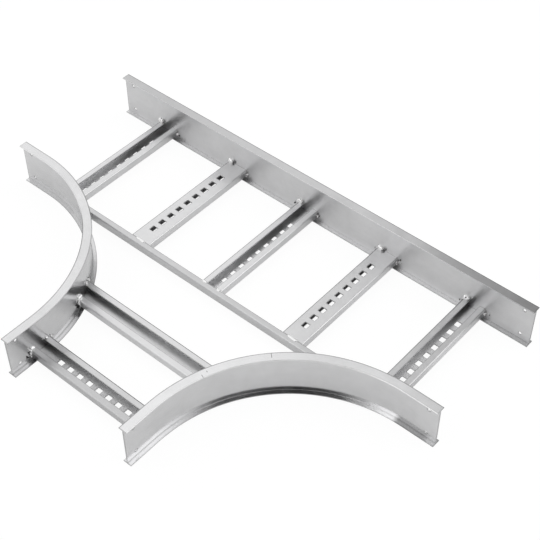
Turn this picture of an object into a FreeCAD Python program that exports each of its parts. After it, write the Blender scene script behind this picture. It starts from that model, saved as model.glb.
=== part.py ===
import FreeCAD
import Part
import os
import math

# Horizontal tee of a ladder type cable tray: three I-section rails, seven channel rungs
# and one cross member, all welded. Lengths are millimetres, +Z is up.
# X runs along the straight rail, the branch points towards -Y.

# sizes of the tee in plan, measured on the centre lines of the rail webs
tray_width = 304.8
curve_radius = 317.5
run_tangent = 70.0
branch_tangent = 70.0

# rail section
rail_height = 98.4
flange_width = 19.0
flange_thickness = 2.4
web_thickness = 2.0
root_radius = 1.0
tip_radius = 0.7

# splice bolt holes, two at each rail end
bolt_hole_diameter = 7.0
bolt_hole_spacing = 65.0
bolt_hole_end_distance = 23.0

# rung section, a lipped channel
rung_width = 50.0
rung_depth = 18.0
rung_thickness = 2.0
rung_lip = 13.6
rung_corner = 3.0
rung_bottom = 9.5

# square holes in the rung webs
tie_hole = 12.7
tie_hole_corner = 0.8
tie_hole_pitch = 25.4
tie_hole_margin = 40.0
inverted_row_side = 1.8

# each row of holes starts where its rung was cut off the punched stock, so a row's middle
# stands this far past the middle of the tray
outer_row_shift = 7.2
middle_row_shift = 9.0
inverted_left_row_shift = 8.3
inverted_right_row_shift = 7.2
branch_row_shift = 4.2

# rung centre lines, from the rail ends on their own side, and the middle rung from the middle
rung_1_from_end = 130.4
rung_2_from_end = 337.4
rung_4_from_end = 338.2
rung_5_from_end = 127.1
middle_rung_x = -5.8
branch_rung_2_from_end = 73.9
branch_rung_pitch = 147.0
inverted_rungs = (2, 4)

# cross member, a plain channel with its web towards the branch
cross_inset = 5.2
cross_width = 12.2
cross_depth = 20.6
cross_thickness = 2.0
cross_corner = 2.5

# derived sizes
half_width = tray_width / 2.0
half_run = half_width + curve_radius + run_tangent
branch_end = tray_width + curve_radius + branch_tangent
rung_top = rung_bottom + rung_depth
half_web = web_thickness / 2.0
half_flange = flange_width / 2.0
centre_shift = (branch_end - half_flange) / 2.0

# the inner rungs and the cross member's back stop short of the front rails
cross_back = tray_width - cross_inset
run_rung_x = {
    1: rung_1_from_end - half_run,
    2: rung_2_from_end - half_run,
    3: middle_rung_x,
    4: half_run - rung_4_from_end,
    5: half_run - rung_5_from_end,
}
row_shift = {
    1: outer_row_shift,
    2: inverted_left_row_shift,
    3: middle_row_shift,
    4: inverted_right_row_shift,
    5: outer_row_shift,
}
branch_rung_2 = branch_end - branch_rung_2_from_end
branch_rung_1 = branch_rung_2 - branch_rung_pitch

# as many square holes as fit between the margins, the same in every punched rung
tie_hole_count = int((cross_back - 2 * tie_hole_margin) / tie_hole_pitch) + 1

V = FreeCAD.Vector
UP = V(0, 0, 1)


def rail_profile(place, across):
    """I-section face centred on place, its flanges spread along the across direction."""
    h = rail_height
    t = flange_thickness
    w = half_web
    f = half_flange
    r = root_radius
    e = tip_radius
    k = math.sqrt(0.5)

    def at(u, z):
        return place + across * u + UP * z

    def corner(cu, cz, radius, su, sz):
        return at(cu + su * radius * k, cz + sz * radius * k)

    edges = []

    def line(a, b):
        edges.append(Part.makeLine(a, b))

    def arc(a, m, b):
        edges.append(Part.Arc(a, m, b).toShape())

    # bottom flange, left to right, then up one side and down the other
    line(at(-f + e, 0), at(f - e, 0))
    arc(at(f - e, 0), corner(f - e, e, e, 1, -1), at(f, e))
    line(at(f, e), at(f, t - e))
    arc(at(f, t - e), corner(f - e, t - e, e, 1, 1), at(f - e, t))
    line(at(f - e, t), at(w + r, t))
    arc(at(w + r, t), corner(w + r, t + r, r, -1, -1), at(w, t + r))
    line(at(w, t + r), at(w, h - t - r))
    arc(at(w, h - t - r), corner(w + r, h - t - r, r, -1, 1), at(w + r, h - t))
    line(at(w + r, h - t), at(f - e, h - t))
    arc(at(f - e, h - t), corner(f - e, h - t + e, e, 1, -1), at(f, h - t + e))
    line(at(f, h - t + e), at(f, h - e))
    arc(at(f, h - e), corner(f - e, h - e, e, 1, 1), at(f - e, h))
    line(at(f - e, h), at(-f + e, h))
    arc(at(-f + e, h), corner(-f + e, h - e, e, -1, 1), at(-f, h - e))
    line(at(-f, h - e), at(-f, h - t + e))
    arc(at(-f, h - t + e), corner(-f + e, h - t + e, e, -1, -1), at(-f + e, h - t))
    line(at(-f + e, h - t), at(-w - r, h - t))
    arc(at(-w - r, h - t), corner(-w - r, h - t - r, r, 1, 1), at(-w, h - t - r))
    line(at(-w, h - t - r), at(-w, t + r))
    arc(at(-w, t + r), corner(-w - r, t + r, r, 1, -1), at(-w - r, t))
    line(at(-w - r, t), at(-f + e, t))
    arc(at(-f + e, t), corner(-f + e, t - e, e, -1, 1), at(-f, t - e))
    line(at(-f, t - e), at(-f, e))
    arc(at(-f, e), corner(-f + e, e, e, -1, -1), at(-f + e, 0))
    return Part.Face(Part.Wire(edges))


def bolt_holes(shape, x, y, axis):
    """Cuts the two splice bolt holes of one rail end."""
    middle = rail_height / 2.0
    for z in (middle - bolt_hole_spacing / 2.0, middle + bolt_hole_spacing / 2.0):
        start = V(x, y, z) - axis * half_flange
        shape = shape.cut(Part.makeCylinder(bolt_hole_diameter / 2.0, flange_width, start, axis))
    return shape


def straight_rail():
    rail = rail_profile(V(-half_run, 0, 0), V(0, 1, 0)).extrude(V(2 * half_run, 0, 0))
    for side in (-1, 1):
        rail = bolt_holes(rail, side * (half_run - bolt_hole_end_distance), 0, V(0, 1, 0))
    return rail


def curved_rail_right():
    """Run tangent, quarter bend and branch tangent of the right rail, in one piece."""
    bend_x = half_width + curve_radius
    bend_y = -tray_width - curve_radius
    run_part = rail_profile(V(half_run, -tray_width, 0), V(0, 1, 0)).extrude(V(-run_tangent, 0, 0))
    section = rail_profile(V(bend_x, -tray_width, 0), V(0, 1, 0))
    bend = section.revolve(V(bend_x, bend_y, 0), UP, 90)
    branch_part = rail_profile(V(half_width, bend_y, 0), V(1, 0, 0)).extrude(V(0, -branch_tangent, 0))
    rail = bend.fuse([run_part, branch_part]).removeSplitter()
    rail = bolt_holes(rail, half_run - bolt_hole_end_distance, -tray_width, V(0, 1, 0))
    rail = bolt_holes(rail, half_width, -branch_end + bolt_hole_end_distance, V(1, 0, 0))
    return rail


def tray_inside():
    """The space between the tray-side faces of the three webs, used to cope the rungs."""
    bend_x = half_width + curve_radius
    bend_y = -tray_width - curve_radius
    r = curve_radius + half_web
    k = math.sqrt(0.5)
    run_y = -tray_width + half_web
    branch_x = half_width - half_web
    edges = [
        Part.makeLine(V(-half_run, -half_web, 0), V(half_run, -half_web, 0)),
        Part.makeLine(V(half_run, -half_web, 0), V(half_run, run_y, 0)),
        Part.makeLine(V(half_run, run_y, 0), V(bend_x, run_y, 0)),
        Part.Arc(V(bend_x, run_y, 0), V(bend_x - r * k, bend_y + r * k, 0), V(branch_x, bend_y, 0)).toShape(),
        Part.makeLine(V(branch_x, bend_y, 0), V(branch_x, -branch_end, 0)),
        Part.makeLine(V(branch_x, -branch_end, 0), V(-branch_x, -branch_end, 0)),
        Part.makeLine(V(-branch_x, -branch_end, 0), V(-branch_x, bend_y, 0)),
        Part.Arc(V(-branch_x, bend_y, 0), V(-bend_x + r * k, bend_y + r * k, 0), V(-bend_x, run_y, 0)).toShape(),
        Part.makeLine(V(-bend_x, run_y, 0), V(-half_run, run_y, 0)),
        Part.makeLine(V(-half_run, run_y, 0), V(-half_run, -half_web, 0)),
    ]
    return Part.Face(Part.Wire(edges)).extrude(V(0, 0, rail_height))


def long_edges(solid, axis):
    """Edges of a box that run along axis."""
    found = []
    for edge in solid.Edges:
        direction = edge.tangentAt(edge.FirstParameter)
        if abs(direction.dot(axis)) > 0.99:
            found.append(edge)
    return found


def rung_channel(length, inverted):
    """Lipped channel along +X from the origin, centred on Y, bottom at rung_bottom."""
    half = rung_width / 2.0
    t = rung_thickness
    axis = V(1, 0, 0)
    outer = Part.makeBox(length, rung_width, rung_depth, V(0, -half, rung_bottom))
    outer = outer.makeFillet(rung_corner, long_edges(outer, axis))
    inner = Part.makeBox(length, rung_width - 2 * t, rung_depth - 2 * t, V(0, -half + t, rung_bottom + t))
    inner = inner.makeFillet(rung_corner - t, long_edges(inner, axis))
    mouth_half = half - rung_lip
    mouth_z = rung_bottom - 1 if inverted else rung_top - t - 1
    mouth = Part.makeBox(length, 2 * mouth_half, t + 2, V(0, -mouth_half, mouth_z))
    return outer.cut(inner).cut(mouth)


def tie_hole_tool(x, side):
    """Square punch with slightly rounded corners, at x along the channel and side across it."""
    half = tie_hole / 2.0
    tool = Part.makeBox(tie_hole, tie_hole, rung_thickness + 2, V(x - half, side - half, -1))
    return tool.makeFillet(tie_hole_corner, long_edges(tool, UP))


def punched_channel(length, inverted, hole_centre):
    """Channel with its row of square holes; hole_centre is None for a plain one."""
    channel = rung_channel(length, inverted)
    if hole_centre is None:
        return channel
    web_z = rung_top - rung_thickness if inverted else rung_bottom
    side = -inverted_row_side if inverted else 0.0
    first = hole_centre - tie_hole_pitch * (tie_hole_count - 1) / 2.0
    tools = []
    for n in range(tie_hole_count):
        tool = tie_hole_tool(first + n * tie_hole_pitch, side)
        tool.translate(V(0, 0, web_z))
        tools.append(tool)
    return channel.cut(Part.makeCompound(tools))


def run_rung(number, inside):
    """Rung across the run; the middle three stop at the cross member."""
    centre = cross_back / 2.0 + row_shift[number]
    length = cross_back if number in (2, 3, 4) else tray_width + curve_radius
    rung = punched_channel(length, number in inverted_rungs, centre)
    rung.rotate(V(0, 0, 0), UP, -90)
    rung.translate(V(run_rung_x[number], 0, 0))
    return rung.common(inside)


def branch_rung(distance, hole_centre, inside):
    """Rung across the branch, parallel to the run."""
    length = 2 * half_run
    centre = None if hole_centre is None else half_run + hole_centre
    rung = punched_channel(length, False, centre)
    rung.translate(V(-half_run, -distance, 0))
    return rung.common(inside)


def cross_member():
    """Plain channel between the sides of rungs 1 and 5, web towards the branch."""
    left = run_rung_x[1] + rung_width / 2.0
    length = run_rung_x[5] - rung_width / 2.0 - left
    t = cross_thickness
    front = -cross_back - cross_width
    low = rung_top - cross_depth
    axis = V(1, 0, 0)
    outer = Part.makeBox(length, cross_width, cross_depth, V(left, front, low))
    front_edges = [e for e in long_edges(outer, axis) if abs(e.CenterOfMass.y - front) < 0.01]
    outer = outer.makeFillet(cross_corner, front_edges)
    inner = Part.makeBox(length, cross_width, cross_depth - 2 * t, V(left, front + t, low + t))
    front_edges = [e for e in long_edges(inner, axis) if abs(e.CenterOfMass.y - front - t) < 0.01]
    inner = inner.makeFillet(cross_corner - t, front_edges)
    return outer.cut(inner)


def pieces():
    inside = tray_inside()
    right = curved_rail_right()
    made = {
        "straight_rail": straight_rail(),
        "curved_rail_right": right,
        "curved_rail_left": right.mirror(V(0, 0, 0), V(1, 0, 0)),
        "cross_member": cross_member(),
        "rung_branch_1": branch_rung(branch_rung_1, None, inside),
        "rung_branch_2": branch_rung(branch_rung_2, branch_row_shift, inside),
    }
    for number in run_rung_x:
        made["rung_run_%d" % number] = run_rung(number, inside)
    return made


os.makedirs("parts", exist_ok=True)
for name, shape in pieces().items():
    if shape.ShapeType != "Solid":
        shape = shape.Solids[0]
    shape.translate(V(0, centre_shift, 0))
    shape.exportStep("parts/%s.step" % name)
    box = shape.BoundBox
    print(name, shape.isValid(), round(shape.Volume / 1000.0, 2), "cm3",
          [round(v, 2) for v in (box.XMin, box.XMax, box.YMin, box.YMax, box.ZMin, box.ZMax)])
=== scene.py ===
import math
import random
import bpy
import bmesh
from mathutils import Matrix, Quaternion, Vector


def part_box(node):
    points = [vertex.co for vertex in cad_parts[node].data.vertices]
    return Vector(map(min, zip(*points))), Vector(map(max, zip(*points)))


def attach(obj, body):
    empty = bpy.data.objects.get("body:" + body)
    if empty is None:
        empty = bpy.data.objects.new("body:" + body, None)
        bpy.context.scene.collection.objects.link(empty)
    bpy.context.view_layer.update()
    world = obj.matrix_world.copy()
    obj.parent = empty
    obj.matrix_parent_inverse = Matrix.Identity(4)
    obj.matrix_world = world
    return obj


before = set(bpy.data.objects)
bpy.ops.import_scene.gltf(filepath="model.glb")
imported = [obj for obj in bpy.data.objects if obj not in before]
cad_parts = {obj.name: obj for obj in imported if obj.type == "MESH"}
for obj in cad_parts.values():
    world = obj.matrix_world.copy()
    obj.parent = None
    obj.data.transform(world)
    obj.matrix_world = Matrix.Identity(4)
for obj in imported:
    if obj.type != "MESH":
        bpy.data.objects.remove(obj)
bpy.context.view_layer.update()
scene = bpy.context.scene
scene.view_settings.view_transform = "Standard"


# Camera
# It looks down on the tray from the front right, past the open end of the branch.
# Distances are in metres, and the small roll is the tilt of the photographed view.
camera_place = Vector((1.1718, -1.1371, 1.8250))
camera_aim = Vector((0.0674, 0.1324, 0.0500))
camera_roll = math.radians(-0.34)
camera_data = bpy.data.cameras.new("camera")
camera_data.sensor_fit = "HORIZONTAL"
camera_data.sensor_width = 36.0
camera_data.lens = 83.04
camera_data.clip_end = 60.0
camera = bpy.data.objects.new("camera", camera_data)
turn = (camera_aim - camera_place).to_track_quat("-Z", "Y")
camera.rotation_mode = "QUATERNION"
camera.rotation_quaternion = turn @ Quaternion((0.0, 0.0, 1.0), camera_roll)
camera.location = camera_place
scene.collection.objects.link(camera)
scene.camera = camera


# Floor and studio light
# A plain white floor under the tray and a pale dome over it, white where it is seen straight.
# Its light is dimmer low down, on the near side and behind the tray, with three soft boxes.
def link(tree, start, end):
    tree.links.new(start, end)


def math_node(tree, operation, first, second=None, third=None):
    """One Math node; each input is a number or the socket that feeds it."""
    made = tree.nodes.new("ShaderNodeMath")
    made.operation = operation
    for place, value in enumerate((first, second, third)):
        if value is None:
            continue
        if isinstance(value, (int, float)):
            made.inputs[place].default_value = value
        else:
            link(tree, value, made.inputs[place])
    return made.outputs[0]


def ramp(tree, value, low, high, at_low=0.0, at_high=1.0):
    """at_low up to the value low, at_high from the value high, and a soft step between them."""
    made = tree.nodes.new("ShaderNodeMapRange")
    made.interpolation_type = "SMOOTHSTEP"
    made.inputs["From Min"].default_value = low
    made.inputs["From Max"].default_value = high
    made.inputs["To Min"].default_value = at_low
    made.inputs["To Max"].default_value = at_high
    link(tree, value, made.inputs["Value"])
    return made.outputs["Result"]


def times(tree, first, second):
    return math_node(tree, "MULTIPLY", first, second)


def split_of(tree, vector):
    """The X, Y and Z sockets of a vector."""
    made = tree.nodes.new("ShaderNodeSeparateXYZ")
    link(tree, vector, made.inputs[0])
    return made.outputs


def new_material(name):
    """A material of this name and its node tree."""
    material = bpy.data.materials.new(name)
    material.use_nodes = True
    return material, material.node_tree


# the floor's share of plain white for what looks at it straight and for the metal's mirroring,
# how far from the tray the mirrored floor fades, and how bright it is beyond
floor_tone = 0.82
straight_white = 0.9
mirrored_white = 0.35
floor_glow = 1.05
fade_start = 1.1
fade_end = 2.2
far_glow = 0.12
floor_half_size = 9.0


def glow(tree, strength):
    made = tree.nodes.new("ShaderNodeEmission")
    made.inputs["Color"].default_value = (1.0, 1.0, 1.0, 1.0)
    made.inputs["Strength"].default_value = strength
    return made.outputs[0]


def blended(tree, share, first, second):
    """A Mix Shader: the first shader where share is 0, the second where it is 1."""
    made = tree.nodes.new("ShaderNodeMixShader")
    link(tree, share, made.inputs["Fac"])
    link(tree, first, made.inputs[1])
    link(tree, second, made.inputs[2])
    return made.outputs[0]


def white_floor():
    """Paper that catches the shadow, with white added for straight, clear and mirrored views."""
    material, tree = new_material("white_floor")
    tree.nodes.clear()
    output = tree.nodes.new("ShaderNodeOutputMaterial")
    paper = tree.nodes.new("ShaderNodeBsdfDiffuse")
    paper.inputs["Color"].default_value = (floor_tone, floor_tone, floor_tone, 1.0)
    path = tree.nodes.new("ShaderNodeLightPath").outputs
    seen = math_node(tree, "MAXIMUM", path["Is Camera Ray"], path["Is Transmission Ray"])
    mirrored = times(tree, path["Is Glossy Ray"], mirrored_white)
    share = math_node(tree, "MAXIMUM", times(tree, seen, straight_white), mirrored)
    near_floor = blended(tree, share, paper.outputs[0], glow(tree, floor_glow))
    reach = tree.nodes.new("ShaderNodeVectorMath")
    reach.operation = "LENGTH"
    link(tree, tree.nodes.new("ShaderNodeTexCoord").outputs["Object"], reach.inputs[0])
    far = ramp(tree, reach.outputs["Value"], fade_start, fade_end)
    far = times(tree, far, path["Is Glossy Ray"])
    link(tree, blended(tree, far, near_floor, glow(tree, far_glow)), output.inputs["Surface"])
    return material


floor_mesh = bpy.data.meshes.new("floor")
sheet = bmesh.new()
bmesh.ops.create_grid(sheet, x_segments=1, y_segments=1, size=floor_half_size)
sheet.to_mesh(floor_mesh)
sheet.free()
floor = bpy.data.objects.new("floor", floor_mesh)
floor.data.materials.append(white_floor())
scene.collection.objects.link(floor)


def dome_patch(tree, direction, azimuth, elevation, inner, outer):
    """1 inside a round patch of the dome, 0 outside it, with a soft rim; all four in degrees."""
    turn_z = math.radians(azimuth)
    rise = math.radians(elevation)
    level = math.cos(rise)
    towards = Vector((math.cos(turn_z) * level, math.sin(turn_z) * level, math.sin(rise)))
    dot = tree.nodes.new("ShaderNodeVectorMath")
    dot.operation = "DOT_PRODUCT"
    link(tree, direction, dot.inputs[0])
    dot.inputs[1].default_value = towards
    rim_start = math.cos(math.radians(outer))
    rim_end = math.cos(math.radians(inner))
    return ramp(tree, dot.outputs["Value"], rim_start, rim_end)


# azimuth, elevation, inner and outer radius of each patch in degrees; then the share by which a
# patch dims the dome, or the light that a soft box adds
dim_patches = (
    (-46.0, 54.0, 29.0, 34.0, -0.99),
    (96.0, 40.0, 7.0, 28.0, -0.82),
    (-140.0, 44.0, 12.0, 26.0, -0.20),
)
soft_boxes = (
    (-108.0, 47.0, 7.0, 14.0, 0.85),
    (54.0, 46.0, 10.0, 24.0, 0.70),
    (-145.0, 56.0, 5.0, 13.0, 0.55),
)

# the dome's light near the horizon, in front of the tray and behind it, how the one passes into
# the other, and the heights between which it comes up to full
low_front = 0.80
low_behind = 0.15
front_end = -0.25
behind_start = 0.35
low_start = math.sin(math.radians(-4.0))
low_end = math.sin(math.radians(24.0))
sky_seen_straight = 1.05
world = bpy.data.worlds.new("studio")
scene.world = world
world.use_nodes = True
tree = world.node_tree
tree.nodes.clear()
where = tree.nodes.new("ShaderNodeTexCoord").outputs["Generated"]
towards = split_of(tree, where)
low_level = ramp(tree, towards["Y"], front_end, behind_start, low_front, low_behind)
high = ramp(tree, towards["Z"], low_start, low_end)
low = math_node(tree, "SUBTRACT", 1.0, high)
level = math_node(tree, "MULTIPLY_ADD", low, low_level, high)
for azimuth, elevation, inner, outer, change in dim_patches:
    patch = dome_patch(tree, where, azimuth, elevation, inner, outer)
    level = times(tree, level, math_node(tree, "MULTIPLY_ADD", patch, change, 1.0))
for azimuth, elevation, inner, outer, light in soft_boxes:
    patch = dome_patch(tree, where, azimuth, elevation, inner, outer)
    level = math_node(tree, "MULTIPLY_ADD", patch, light, level)
path = tree.nodes.new("ShaderNodeLightPath").outputs
level = math_node(tree, "MAXIMUM", level, times(tree, path["Is Camera Ray"], sky_seen_straight))
sky = tree.nodes.new("ShaderNodeBackground")
sky.inputs["Color"].default_value = (1.0, 1.0, 1.0, 1.0)
link(tree, level, sky.inputs["Strength"])
link(tree, sky.outputs[0], tree.nodes.new("ShaderNodeOutputWorld").inputs["Surface"])


# Straight rail
# An I-section of extruded aluminium along the back of the run, sawn square at both ends.
# Its mill finish has fine draw lines along the rail, a cloudy bloom of oxide and faint waves.
def noise(tree, vector, scale, detail, rough=0.55):
    made = tree.nodes.new("ShaderNodeTexNoise")
    made.inputs["Scale"].default_value = scale
    made.inputs["Detail"].default_value = detail
    made.inputs["Roughness"].default_value = rough
    link(tree, vector, made.inputs["Vector"])
    return made.outputs["Fac"]


def stretched(tree, vector, along, across):
    """The vector with its x scaled by along and its other two by across."""
    made = tree.nodes.new("ShaderNodeMapping")
    made.inputs["Scale"].default_value = (along, across, across)
    link(tree, vector, made.inputs["Vector"])
    return made.outputs["Vector"]


def sum_of(tree, start, terms):
    """start plus each share times how far its pattern stands from one half."""
    total = start
    for pattern, share in terms:
        centred = math_node(tree, "SUBTRACT", pattern, 0.5)
        total = math_node(tree, "MULTIPLY_ADD", centred, share, total)
    return total


def dimmed(tree, bright, mask, share):
    """bright, less the share of it that is lost where the mask is 1; below 0, the share gained."""
    return times(tree, bright, math_node(tree, "MULTIPLY_ADD", mask, -share, 1.0))


def grey_of(tree, level, blue_share=1.0):
    """A grey of this level, with its blue times blue_share."""
    made = tree.nodes.new("ShaderNodeCombineColor")
    link(tree, level, made.inputs["Red"])
    link(tree, level, made.inputs["Green"])
    link(tree, times(tree, level, blue_share), made.inputs["Blue"])
    return made.outputs[0]


def relief(tree, shader, height):
    """Bump of this height in metres."""
    made = tree.nodes.new("ShaderNodeBump")
    made.inputs["Distance"].default_value = 1.0
    link(tree, height, made.inputs["Height"])
    link(tree, made.outputs["Normal"], shader.inputs["Normal"])


# how fine each pattern of the metal is, per metre; the drawn ones along the piece, then across
cloud_scale = 17.0
mottle_scale = 75.0
band_scale = (1.6, 70.0)
draw_scale = (6.0, 620.0)
wave_scale = (6.0, 9.0)

# share of a mirror in the metal, and how much of it is taken away and whitened where the metal is
# fully bloomed; the whitening is oxide in some places and painted light in others
metal_share = 0.95
bloom_takes = 0.80
whitening_share = 0.16

# the metal is a little more blue than grey
cool_tint = 1.008

# how strongly the clouds, the mottle, the bands and the draw lines change the brightness, and
# the roughness
tone_shares = (0.20, 0.06, 0.05, 0.03)
dull_shares = (0.20, 0.05, 0.05, 0.03)

# painted shade: sharp edges and inner corners are painted darker within this reach, by this share,
# for the dark lines that edges mirror and the shade in corners; the other two values are how well
# the rounded and the flat surface agree where that starts and where it is full
edge_reach = 0.0032
edge_shade_share = 0.45
edge_start = 0.998
edge_full = 0.90

# painted shade: the level way that points from the viewer to the back, and the share by which the
# rounded corners that face it, and those that face down, are painted darker, for the dark horizon
# that they mirror and the shade under them
back_x = -0.69
back_y = 0.72
back_corner_shade_share = 0.70
low_corner_shade_share = 0.35

# heights of the waves, the mottle and the draw lines in metres
wave_height = 0.00035
mottle_height = 0.000005
draw_height = 0.0000015


def mill_finish(name, tone, roughness, course, wear=None, bloom=None, corners=False):
    """Bare aluminium; course builds the coordinates that run along the piece, x first. wear
    changes the brightness of places with stains or worn metal, and paints shade and highlights on
    others. bloom gives how whitish and less mirroring the metal is, 0 to 1: oxide blooming in some
    places, painted light in others. corners paints shade on the rounded corners at the back and
    at the bottom."""
    material, tree = new_material(name)
    shader = tree.nodes["Principled BSDF"]
    shader.inputs["Specular IOR Level"].default_value = 0.3
    place = tree.nodes.new("ShaderNodeTexCoord").outputs["Object"]
    run = course(tree, place)
    cloud = noise(tree, place, cloud_scale, 5.0, 0.62)
    mottle = noise(tree, place, mottle_scale, 3.0, 0.5)
    bands = noise(tree, stretched(tree, run, *band_scale), 1.0, 3.0)
    draw = noise(tree, stretched(tree, run, *draw_scale), 1.0, 3.0)
    waves = noise(tree, stretched(tree, run, *wave_scale), 1.0, 1.0)

    patterns = (cloud, mottle, bands, draw)
    bright = sum_of(tree, tone, zip(patterns, tone_shares))
    rounded = tree.nodes.new("ShaderNodeBevel")
    rounded.samples = 6
    rounded.inputs["Radius"].default_value = edge_reach
    flat = tree.nodes.new("ShaderNodeNewGeometry").outputs["True Normal"]
    agree = tree.nodes.new("ShaderNodeVectorMath")
    agree.operation = "DOT_PRODUCT"
    link(tree, rounded.outputs[0], agree.inputs[0])
    link(tree, flat, agree.inputs[1])
    # painted shade: a dark line along every edge and into every inner corner
    edge = ramp(tree, agree.outputs["Value"], edge_start, edge_full)
    bright = dimmed(tree, bright, edge, edge_shade_share)
    at = split_of(tree, place)
    if wear:
        bright = wear(tree, bright, at, run)
    # whiter, less mirroring metal: oxide blooming in some places, painted light in others
    if bloom:
        pale = bloom(tree, at)
        bright = math_node(tree, "MULTIPLY_ADD", pale, whitening_share, bright)
    # painted shade on the rounded corners that face away from the viewer and on those that face
    # down
    if corners:
        tilt = split_of(tree, flat)
        back = math_node(tree, "MULTIPLY_ADD", tilt["Y"], back_y, times(tree, tilt["X"], back_x))
        back = times(tree, ramp(tree, back, 0.03, 0.20), ramp(tree, tilt["Z"], 0.10, 0.35))
        bright = dimmed(tree, bright, back, back_corner_shade_share)
        bright = dimmed(tree, bright, ramp(tree, tilt["Z"], -0.05, -0.40), low_corner_shade_share)
    link(tree, grey_of(tree, bright, cool_tint), shader.inputs["Base Color"])

    dull = sum_of(tree, roughness, zip(patterns, dull_shares))
    if bloom:
        mirroring = math_node(tree, "MULTIPLY_ADD", pale, -bloom_takes, metal_share)
        link(tree, mirroring, shader.inputs["Metallic"])
    else:
        shader.inputs["Metallic"].default_value = metal_share
    link(tree, dull, shader.inputs["Roughness"])

    height = times(tree, waves, wave_height)
    height = math_node(tree, "MULTIPLY_ADD", mottle, mottle_height, height)
    height = math_node(tree, "MULTIPLY_ADD", draw, draw_height, height)
    relief(tree, shader, height)
    return material


def dress(piece, material):
    piece.data.materials.clear()
    piece.data.materials.append(material)


def along_x(tree, place):
    return place


# heights between which a mask passes from a rail's web to its top and its bottom flange
top_flange_step = (0.0950, 0.0970)
bottom_flange_step = (0.0050, 0.0028)


def top_flange(tree, at):
    """1 on a rail's top flange, else 0."""
    return ramp(tree, at["Z"], *top_flange_step)


def bottom_flange(tree, at):
    """1 on a rail's bottom flange, else 0."""
    return ramp(tree, at["Z"], *bottom_flange_step)


# each mark, a real one or painted shade or light: the axis it begins along, where it starts, where
# it is full, and the share of the brightness that it takes, below 0 where the metal is cleaner or
# painted lighter
straight_top_stains_and_shade = (
    ("X", -0.45, 0.10, -0.22),
    ("X", 0.16, 0.52, 0.38),
    # painted shade: a dark line along the top flange's back edge
    ("Y", 0.3484, 0.3499, 0.50),
    # painted highlight: a light line along the top flange's front edge
    ("Y", 0.3328, 0.3322, -0.60),
)
straight_foot_stains = (("X", 0.42, 0.47, 0.28),)
straight_top_share = 0.21


def stained(tree, bright, flange, at, stains):
    for axis, start, full, share in stains:
        bright = dimmed(tree, bright, times(tree, flange, ramp(tree, at[axis], start, full)), share)
    return bright


def straight_wear(tree, bright, at, run):
    """A top flange darker all over and more so towards the right, with painted shade along its
    back edge and a painted highlight along its front edge, and a duller bottom flange at the right
    end."""
    top = top_flange(tree, at)
    bright = dimmed(tree, bright, top, straight_top_share)
    bright = stained(tree, bright, top, at, straight_top_stains_and_shade)
    return stained(tree, bright, bottom_flange(tree, at), at, straight_foot_stains)


straight_tone = 0.765
straight_roughness = 0.35
straight_metal = mill_finish("straight_rail_aluminium", straight_tone, straight_roughness,
                             along_x, straight_wear)
dress(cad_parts["straight_rail"], straight_metal)


# Curved rails
# Two lengths of the same extruded aluminium I-section, each bent a quarter turn between dies
# with a short straight length left at each end. Their draw lines follow the bend.
bend_radius = 0.3175
bend_centre_x = 0.4699
bend_centre_y = -0.2809


def along_bend(side):
    """Coordinates along a bent rail: its length first, then its bend radius and height."""
    def course(tree, place):
        at = split_of(tree, place)
        x = math_node(tree, "MULTIPLY_ADD", at["X"], side, -bend_centre_x)
        y = math_node(tree, "SUBTRACT", at["Y"], bend_centre_y)
        u = math_node(tree, "MINIMUM", x, 0.0)
        v = math_node(tree, "MAXIMUM", y, 0.0)
        radius = math_node(tree, "SQRT", math_node(tree, "MULTIPLY_ADD", u, u, times(tree, v, v)))
        angle = math_node(tree, "ARCTAN2", v, times(tree, u, -1.0))
        past_run = math_node(tree, "MAXIMUM", x, 0.0)
        past_branch = math_node(tree, "MINIMUM", y, 0.0)
        length = math_node(tree, "ADD", past_run, past_branch)
        length = math_node(tree, "MULTIPLY_ADD", angle, bend_radius, length)
        joined = tree.nodes.new("ShaderNodeCombineXYZ")
        link(tree, length, joined.inputs["X"])
        link(tree, radius, joined.inputs["Y"])
        link(tree, at["Z"], joined.inputs["Z"])
        return joined.outputs[0]
    return course


# radii where the painted dark rims and the painted highlight on the outer edge of a top flange
# begin and are full, and the share of the brightness that each takes
tray_rim = (0.3246, 0.3262)
outer_rim = (0.3103, 0.3089)
outer_edge_highlight = (0.3093, 0.3085)
rim_shade_share = 0.50
edge_highlight_share = -0.70
turn_blend = 0.02


def flange_wear(tree, bright, top, at, course, turn_y):
    """The top flange has a painted dark rim on its tray side and a painted highlight on its outer
    edge behind the place turn_y, and a painted dark rim on its outer side in front of it."""
    behind = times(tree, top, ramp(tree, at["Y"], turn_y - turn_blend, turn_y + turn_blend))
    before = math_node(tree, "SUBTRACT", top, behind)
    radius = course["Y"]
    # painted dark rims and a painted highlight along the flange's edges
    bright = dimmed(tree, bright, times(tree, behind, ramp(tree, radius, *tray_rim)), rim_shade_share)
    bright = dimmed(tree, bright, times(tree, before, ramp(tree, radius, *outer_rim)), rim_shade_share)
    edge_highlight = times(tree, behind, ramp(tree, radius, *outer_edge_highlight))
    return dimmed(tree, bright, edge_highlight, edge_highlight_share)


left_turn_y = -0.030
left_foot_stains = (("Y", -0.120, -0.160, 0.24),)


def left_bend_wear(tree, bright, at, run):
    """Painted dark rims and an edge highlight on the top flange, and a bottom flange duller
    at the outer end of the branch.
    """
    top = top_flange(tree, at)
    bright = flange_wear(tree, bright, top, at, split_of(tree, run), left_turn_y)
    return stained(tree, bright, bottom_flange(tree, at), at, left_foot_stains)


# marks of the bending dies across the top flange of the right bend: their place along the rail,
# and the lowest and highest radius that they reach
mark_half_width = 0.0008
mark_share = 0.45
die_marks = (
    (0.1090, 0.3070, 0.3160),
    (0.1208, 0.3160, 0.3200),
    (0.2410, 0.3150, 0.3280),
    (0.3765, 0.3070, 0.3092),
    (0.3885, 0.3070, 0.3100),
)
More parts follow.
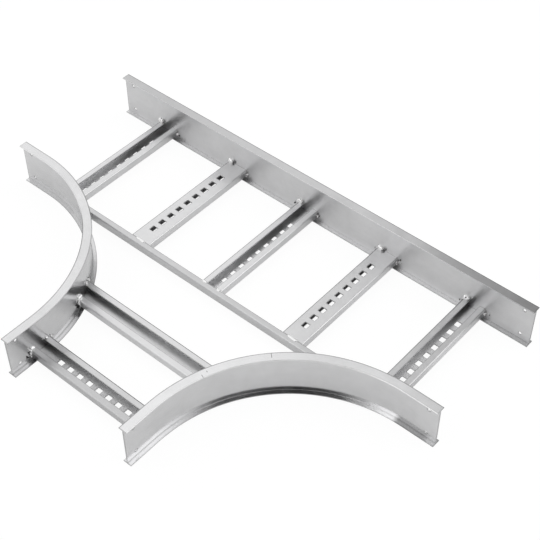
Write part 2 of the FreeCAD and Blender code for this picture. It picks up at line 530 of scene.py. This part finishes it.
# the right bend has its painted rims and edge highlight alike on its whole length, so they turn
# nowhere on it
right_turn_y = -1.0
right_top_share = -0.06
right_top_stains = (("X", 0.33, 0.40, -0.13),)
# painted shade under the bend, then painted highlights and a painted dark streak on the bottom
# flange
right_foot_painted_light = (
    ("X", 0.205, 0.240, 0.28),
    ("X", 0.340, 0.358, -0.555),
    ("X", 0.446, 0.460, 0.625),
    ("X", 0.512, 0.528, -0.667),
)


def right_bend_wear(tree, bright, at, run):
    """Painted dark rims and an edge highlight on the flanges, the top one lighter and crossed by
    die marks, and the bottom one with painted shade under the bend, then painted highlights and a
    painted dark streak where it runs out into the run."""
    top = top_flange(tree, at)
    course = split_of(tree, run)
    bright = flange_wear(tree, bright, top, at, course, right_turn_y)
    for length, lowest, highest in die_marks:
        off = math_node(tree, "ABSOLUTE", math_node(tree, "SUBTRACT", course["X"], length))
        mark = times(tree, top, math_node(tree, "LESS_THAN", off, mark_half_width))
        mark = times(tree, mark, math_node(tree, "GREATER_THAN", course["Y"], lowest))
        mark = times(tree, mark, math_node(tree, "LESS_THAN", course["Y"], highest))
        bright = dimmed(tree, bright, mark, mark_share)
    bright = dimmed(tree, bright, top, right_top_share)
    bright = stained(tree, bright, top, at, right_top_stains)
    return stained(tree, bright, bottom_flange(tree, at), at, right_foot_painted_light)


# painted highlight on the right bend's bottom flange: how strong, where it starts and where it ends
foot_highlight_most = 0.65
foot_highlight_start = (0.352, 0.372)
foot_highlight_end = (0.425, 0.385)


def right_bend_bloom(tree, at):
    """Painted highlight on the bottom flange where the right bend starts to run out: the metal
    is made whiter and mirrors less there.
    """
    pale = ramp(tree, at["X"], *foot_highlight_start, 0.0, foot_highlight_most)
    pale = times(tree, pale, ramp(tree, at["X"], *foot_highlight_end))
    return times(tree, bottom_flange(tree, at), pale)


bend_roughness = 0.21
for name, side, tone, wear, bloom in (
    ("curved_rail_left", -1.0, 0.755, left_bend_wear, None),
    ("curved_rail_right", 1.0, 0.785, right_bend_wear, right_bend_bloom),
):
    metal = mill_finish(name + "_aluminium", tone, bend_roughness, along_bend(side), wear, bloom)
    dress(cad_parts[name], metal)


# Run rungs
# Five lengths of punched and roll formed aluminium channel, set across the run and welded in at
# both ends: three with the open side up and two turned over.
def along_y(tree, place):
    made = tree.nodes.new("ShaderNodeMapping")
    made.inputs["Rotation"].default_value = (0.0, 0.0, math.pi / 2.0)
    link(tree, place, made.inputs["Vector"])
    return made.outputs["Vector"]


# between the side walls of a rung, each way from its middle, and below its lips or its web
inner_half_width = 0.0234
inner_top = 0.0256


def inside(tree, at, axis, middle):
    """1 on the faces inside a rung that lies across axis, with its middle there, else 0."""
    off = math_node(tree, "ABSOLUTE", math_node(tree, "SUBTRACT", at[axis], middle))
    between = math_node(tree, "LESS_THAN", off, inner_half_width)
    return times(tree, between, math_node(tree, "LESS_THAN", at["Z"], inner_top))


# where along the run rungs the metal by the back weld, the part of the right face that is lighter
# or darker and the back end of the painted shade inside begin and are full, and how far off the
# middle that face is
back_weld_dull = (0.285, 0.335)
right_face_part = (0.110, 0.180)
shade_back_end = (0.310, 0.255)
right_face_step = (0.0238, 0.0248)

# the share of the brightness by which the metal differs by the back weld, inside a turned rung,
# where it is painted shade, and inside an open one, where it is painted lighter
back_weld_share = 0.15
turned_hollow_shade_share = 0.24
open_hollow_light_share = -0.10


def run_rung_wear(middle, turned_over, hollow_back_shade, right_face_change):
    """Duller metal by the weld at the back, and painted shade inside where it is turned over. The
        inside of the others is painted lighter than their top, but for painted shade in its back
        half: tarnish gives the share it takes, where it starts in front and where it is full. scour
        is the share by which the back half of the right side is lighter, below 0 darker."""
    def wear(tree, bright, at, run):
        bright = dimmed(tree, bright, ramp(tree, at["Y"], *back_weld_dull), back_weld_share)
        off = math_node(tree, "SUBTRACT", at["X"], middle)
        right_face = ramp(tree, off, *right_face_step)
        right_back_face = times(tree, right_face, ramp(tree, at["Y"], *right_face_part))
        bright = dimmed(tree, bright, right_back_face, -right_face_change)
        hollow = inside(tree, at, "X", middle)
        # painted shade inside a turned rung; painted light inside an open one
        if turned_over:
            return dimmed(tree, bright, hollow, turned_hollow_shade_share)
        bright = dimmed(tree, bright, hollow, open_hollow_light_share)
        if not hollow_back_shade:
            return bright
        # painted shade inside, towards the back end
        share, start, full = hollow_back_shade
        back_shade = times(tree, ramp(tree, at["Y"], *shade_back_end), ramp(tree, at["Y"], start, full))
        return dimmed(tree, bright, times(tree, hollow, back_shade), share)
    return wear


def inside_bloom(across, middle, along, clean, pale, most):
    """Bloom, and painted light in the shade, inside an open rung: none up to the place clean
        along it, most of it from pale on.
    """
    def bloom(tree, at):
        spread = ramp(tree, at[along], clean, pale, 0.0, most)
        return times(tree, inside(tree, at, across, middle), spread)
    return bloom


rung_roughness = 0.35

# number, tone, whether it is turned over, change of the right face, painted shade inside, and
# bloom with painted light inside, of each rung, from the left
run_rungs = (
    (1, 0.80, False, 0.0, (0.30, 0.165, 0.250), (0.260, 0.130, 0.42)),
    (2, 0.80, True, 0.0, None, None),
    (3, 0.83, False, -0.07, (0.28, 0.080, 0.250), (0.290, 0.050, 0.20)),
    (4, 0.80, True, 0.09, None, None),
    (5, 0.735, False, 0.20, None, (0.360, 0.140, 0.88)),
)
for number, tone, turned_over, right_face_change, hollow_back_shade, bloom_or_light_spread in run_rungs:
    name = "rung_run_%d" % number
    lowest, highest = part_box(name)
    middle = 0.5 * (lowest[0] + highest[0])
    bloom = inside_bloom("X", middle, "Y", *bloom_or_light_spread) if bloom_or_light_spread else None
    metal = mill_finish(name + "_aluminium", tone, rung_roughness, along_y,
                        run_rung_wear(middle, turned_over, hollow_back_shade, right_face_change), bloom, corners=True)
    dress(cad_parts[name], metal)


# Branch rungs
# Two more lengths of the channel across the branch, open side up and welded to both curved
# rails. The outer one is duller.

# where the outer rung is duller towards the weld at its left end, and by what share; then the
# soft step to its duller front half, each way from its middle, and the share there
left_weld_dull = (-0.060, -0.140)
left_weld_share = 0.26
front_half_step = 0.004
front_half_share = 0.12


def outer_rung_wear(middle):
    """Duller metal by the weld at the left end and over the front half of the rung."""
    def wear(tree, bright, at, run):
        bright = dimmed(tree, bright, ramp(tree, at["X"], *left_weld_dull), left_weld_share)
        front_half = ramp(tree, at["Y"], middle + front_half_step, middle - front_half_step)
        return dimmed(tree, bright, front_half, front_half_share)
    return wear


# number and tone of each rung, inner one first, then where its bloom and painted light inside
# start, are full, and how full
branch_rungs = (
    (1, 0.80, -0.150, 0.020, 0.64),
    (2, 0.71, -0.270, 0.050, 0.96),
)
for number, tone, clean, pale, most in branch_rungs:
    name = "rung_branch_%d" % number
    lowest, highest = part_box(name)
    middle = 0.5 * (lowest[1] + highest[1])
    metal = mill_finish(name + "_aluminium", tone, rung_roughness, along_x,
                        outer_rung_wear(middle) if number == 2 else None,
                        inside_bloom("Y", middle, "X", clean, pale, most), corners=True)
    dress(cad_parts[name], metal)


# Cross member
# A plain bent channel of aluminium across the mouth of the branch, set between the webs of the
# curved rails, with its open back towards the run.
cross_tone = 0.67
cross_roughness = 0.32
# its rounded corners at the back and at the bottom get painted shade
cross_metal = mill_finish("cross_member_aluminium", cross_tone, cross_roughness, along_x,
                          corners=True)
dress(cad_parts["cross_member"], cross_metal)


# Weld beads
# Short beads of aluminium filler laid by hand: along the ends of the lips or over the joint on
# top, and down both sides, with specks of spatter beside them.

# length of one ripple, its height as a share of the bead's, and how far the bead's far end sinks
# to the crater, as a share of its width
ripple_pitch = 0.0019
ripple_share = 0.07
crater_share = 0.30


def bead(sheet, start, end, width, rise, seed, keep):
    """One rippled closed bead from start to end, its far end sunk to a small crater. keep moves
    the parts of it that would come out behind the sheets it joins."""
    dice = random.Random(seed)
    start = Vector(start)
    end = Vector(end)
    course = end - start
    length = course.length + 0.5 * width
    lean = dice.uniform(0.0, math.tau)
    lumps = dice.uniform(0.05, 0.10)
    ripples = length / ripple_pitch * math.pi
    made = bmesh.ops.create_uvsphere(sheet, u_segments=16, v_segments=18, radius=1.0)["verts"]
    for vert in made:
        along = vert.co.z
        girth = (1.0 - abs(along) ** 4.0) ** 0.5
        flat = Vector((vert.co.x, vert.co.y))
        flat = flat.normalized() if flat.length > 1e-6 else flat
        around = math.atan2(flat.y, flat.x)
        wave = 1.0 + ripple_share * math.sin(along * ripples + 1.2 * math.sin(around))
        wave += lumps * math.sin(2.0 * around + lean + 2.5 * along)
        crater = crater_share * width * max(0.0, 10.0 * along - 9.0)
        vert.co = Vector((flat.x * girth * wave * width / 2.0, flat.y * girth * wave * rise,
                          along * length / 2.0 - crater))
    axis = course.normalized()
    upward = Vector((0.0, 0.0, 1.0)) if abs(axis.z) < 0.9 else Vector((1.0, 0.0, 0.0))
    across = upward.cross(axis).normalized()
    rising = axis.cross(across)
    turn = Matrix((across, rising, axis)).transposed().to_4x4()
    bmesh.ops.transform(sheet, verts=made, matrix=Matrix.Translation((start + end) / 2.0) @ turn)
    for vert in made:
        vert.co = keep(vert.co)


def speck(sheet, place, radius, burnt):
    """One ball of spatter, black where it is burnt."""
    ball = bmesh.ops.create_icosphere(sheet, subdivisions=1, radius=radius)["verts"]
    bmesh.ops.translate(sheet, verts=ball, vec=place)
    if burnt:
        for face in {face for vert in ball for face in vert.link_faces}:
            face.material_index = 1


def spatter(sheet, at, u, z, reach, count, seed, largest=0.0010, burnt=False):
    """A few half sunk specks on the rail's web, within reach of u and z; at gives their places."""
    reach_u, reach_z = reach
    dice = random.Random(seed)
    for _ in range(count):
        radius = dice.uniform(0.5 * largest, largest)
        place_u = u + dice.uniform(-reach_u, reach_u)
        place_z = z + dice.uniform(-reach_z, reach_z)
        speck(sheet, Vector(at(place_u, 0.35 * radius, place_z)), radius, burnt)


filler_tone = 0.97
filler_roughness = 0.32
frost_scale = 900.0
frost_height = 0.00005
soot_scale = 300.0
soot_share = 0.90


def weld_finish():
    """Bright frosted filler, with patches of dark soot low down where the arc burnt it."""
    material, tree = new_material("weld_filler")
    shader = tree.nodes["Principled BSDF"]
    shader.inputs["Metallic"].default_value = 0.75
    place = tree.nodes.new("ShaderNodeTexCoord").outputs["Object"]
    frost = noise(tree, place, frost_scale, 3.0)
    patches = ramp(tree, noise(tree, place, soot_scale, 3.0), 0.48, 0.58)
    low = ramp(tree, split_of(tree, place)["Z"], 0.0290, 0.0200)
    soot = times(tree, patches, low)
    bright = dimmed(tree, sum_of(tree, filler_tone, ((frost, 0.06),)), soot, soot_share)
    dull = sum_of(tree, filler_roughness, ((frost, 0.20), (soot, 0.3)))
    link(tree, grey_of(tree, bright), shader.inputs["Base Color"])
    link(tree, dull, shader.inputs["Roughness"])
    relief(tree, shader, times(tree, frost, frost_height))
    return material


burnt_tone = 0.035
burnt_roughness = 0.62
char_scale = 700.0


def burnt_finish():
    """Spatter and flux burnt nearly black."""
    material, tree = new_material("weld_burnt")
    shader = tree.nodes["Principled BSDF"]
    shader.inputs["Metallic"].default_value = 0.2
    place = tree.nodes.new("ShaderNodeTexCoord").outputs["Object"]
    char = noise(tree, place, char_scale, 2.0)
    bright = sum_of(tree, burnt_tone, ((char, 0.04),))
    link(tree, grey_of(tree, bright), shader.inputs["Base Color"])
    link(tree, sum_of(tree, burnt_roughness, ((char, 0.3),)), shader.inputs["Roughness"])
    return material


weld_metal = weld_finish()
burnt_metal = burnt_finish()

# the rungs, and the faces that they are welded to
half_rung = 0.0250
lip_width = 0.0136
rung_low = 0.0095
rung_high = 0.0275
web_half = 0.0010
back_face = 0.3414 - web_half
cross_face = 0.0418
bend_face = bend_radius + web_half

# how deep a bead may go into a web and into a rung, how far its middle stands off each, and how
# high a top bead rises, as a share of its width
depth_in_web = 0.0012
depth_in_rung = 0.0014
off_face = 0.0008
top_bead_lift = 0.0014
top_bead_rise = 0.62

# length and width of the beads on top of a rung: at the back of a run rung, over a turned one's
# joint with the cross member, and on the ends of the left and right lip of an open one
back_bead = (0.0165, 0.0120)
turned_bead = (0.025, 0.0070)
left_lip_bead = (0.013, 0.0085)
right_lip_bead = (0.010, 0.0065)

# how far each bead on a branch rung is centred in from the rung's edge, its length and width
front_branch_bead = (0.005, 0.014, 0.0100)
back_branch_bead = (0.009, 0.006, 0.0045)

# the beads over a flush joint, and those down the sides of a rung
flush_bead_width = 0.0065
flush_bead_sink = 0.0004
flush_bead_rise = 0.0014
side_bead_width = 0.0080
side_bead_scatter = 0.0008
side_bead_rise = 0.0038
side_bead_foot = 0.0030

# spatter: how far from a bead it lies, how far it reaches, how many specks, and burnt sizes
spatter_over = 0.008
spatter_beside = 0.0045
reach_over = (0.012, 0.006)
reach_beside = (0.006, 0.008)
speck_count = 4
burnt_speck = 0.0022
burnt_spot_radius = 0.0017


def straight_face_y(x):
    return back_face


def cross_face_y(x):
    return cross_face


def curved_face_y(x):
    """Where the tray side of a curved rail's web stands in y, at this x of the run."""
    past = min(abs(x) - bend_centre_x, 0.0)
    return bend_centre_y + math.sqrt(bend_face ** 2 - past ** 2)


def right_face_x(y):
    """Half the width between the curved rails' webs, at this y of the branch."""
    past = max(y - bend_centre_y, 0.0)
    return bend_centre_x - math.sqrt(bend_face ** 2 - past ** 2)


def left_face_x(y):
    return -right_face_x(y)


def weld_end(name, across, wall, inward, middle, tops, flush=False, burnt=1, side_top=0.0080,
             spot=None):
    """The beads at one end of a rung. across is x or y, the axis its width lies on, and middle
    its centre there. wall gives the place of the metal it meets, inward points from there into
    the rung, and each of tops is the centre of a bead on top and how long and wide it is. flush
    is for a joint with metal of the same height, burnt the count of black specks beside the
    first side, side_top how far below the rung's top the side beads end, and spot the place of
    a burnt spot on the first top bead."""
    def at(u, depth, z):
        along = wall(u) + inward * depth
        return (u, along, z) if across == "x" else (along, u, z)

    def in_web(place):
        u, along = (place.x, place.y) if across == "x" else (place.y, place.x)
        depth = max(inward * (along - wall(u)), -depth_in_web)
        return u, depth

    def as_laid(place):
        return place

    def on_top(place):
        u, depth = in_web(place)
        return Vector(at(u, depth, max(place.z, rung_high - depth_in_rung)))

    def beside(place):
        u, depth = in_web(place)
        side = 1.0 if u > middle else -1.0
        u = middle + side * max(abs(u - middle), half_rung - depth_in_rung)
        return Vector(at(u, depth, place.z))

    sheet = bmesh.new()
    dice = random.Random(name)
    for number, (centre, length, width) in enumerate(tops):
        start = centre - (length - 0.5 * width) / 2.0
        end = centre + (length - 0.5 * width) / 2.0
        seed = name + "top" + str(number)
        if flush:
            z = rung_high - flush_bead_sink
            bead(sheet, at(start, 0.0, z), at(end, 0.0, z), width, flush_bead_rise, seed, as_laid)
            continue
        z = rung_high + top_bead_lift
        rise = top_bead_rise * width
        bead(sheet, at(start, off_face, z), at(end, off_face, z), width, rise, seed, on_top)
        spatter(sheet, at, centre, rung_high + spatter_over, reach_over, speck_count, seed)
    for side in (-1.0, 1.0):
        u = middle + side * (half_rung + off_face)
        seed = name + "side" + str(side)
        width = side_bead_width + dice.uniform(-side_bead_scatter, side_bead_scatter)
        foot = at(u, off_face, rung_low + side_bead_foot)
        head = at(u, off_face, rung_high - side_top)
        bead(sheet, foot, head, width, side_bead_rise, seed, beside)
        u += side * spatter_beside
        z = 0.5 * (rung_low + rung_high)
        count = burnt if side < 0.0 else 1
        spatter(sheet, at, u, z, reach_beside, speck_count, seed)
        spatter(sheet, at, u, z, reach_beside, count, seed + "burnt", burnt_speck, True)
    if spot:
        u, depth, up = spot
        place = Vector(at(tops[0][0] + u, depth, rung_high + up))
        speck(sheet, place, burnt_spot_radius, True)
    for face in sheet.faces:
        face.smooth = True
    mesh = bpy.data.meshes.new(name)
    sheet.to_mesh(mesh)
    sheet.free()
    mesh.materials.append(weld_metal)
    mesh.materials.append(burnt_metal)
    piece = bpy.data.objects.new(name, mesh)
    scene.collection.objects.link(piece)
    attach(piece, "root")


def lip_beads(low, high):
    """Beads on the ends of both lips of a rung that is open side up."""
    return ((low + 0.5 * lip_width, *left_lip_bead), (high - 0.5 * lip_width, *right_lip_bead))


# how far in from the rung's left edge the big bead on its back end is centred, and where that
# bead is burnt: along it, out from the rail and up from the rung's top
first_bead = {1: 0.0025, 2: 0.0060, 3: 0.0040, 4: 0.0083, 5: 0.0060}
burnt_spot = {2: (0.0085, 0.0035, 0.0020), 4: (0.0095, 0.0035, 0.0020), 5: (0.0, 0.0052, 0.0069)}
for number in range(1, 6):
    lowest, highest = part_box("rung_run_%d" % number)
    low = lowest[0]
    high = highest[0]
    middle = 0.5 * (low + high)
    name = "weld_rung_run_%d" % number
    open_up = number not in (2, 4)
    back_beads = [(low + first_bead[number], *back_bead)]
    spot = burnt_spot.get(number)
    weld_end(name + "_back", "x", straight_face_y, -1.0, middle, back_beads, spot=spot)
    if number in (1, 5):
        weld_end(name + "_front", "x", curved_face_y, 1.0, middle, lip_beads(low, high))
    elif open_up:
        joints = [(centre, length, flush_bead_width) for centre, length, _ in lip_beads(low, high)]
        weld_end(name + "_front", "x", cross_face_y, 1.0, middle, joints, flush=True)
    else:
        joint = [(middle, *turned_bead)]
        weld_end(name + "_front", "x", cross_face_y, 1.0, middle, joint, flush=True)

for number in (1, 2):
    lowest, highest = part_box("rung_branch_%d" % number)
    top_beads = (
        (lowest[1] + front_branch_bead[0], *front_branch_bead[1:]),
        (highest[1] - back_branch_bead[0], *back_branch_bead[1:]),
    )
    middle = 0.5 * (lowest[1] + highest[1])
    name = "weld_rung_branch_%d" % number
    weld_end(name + "_left", "y", left_face_x, 1.0, middle, top_beads, burnt=12, side_top=0.001)
    weld_end(name + "_right", "y", right_face_x, -1.0, middle, top_beads)
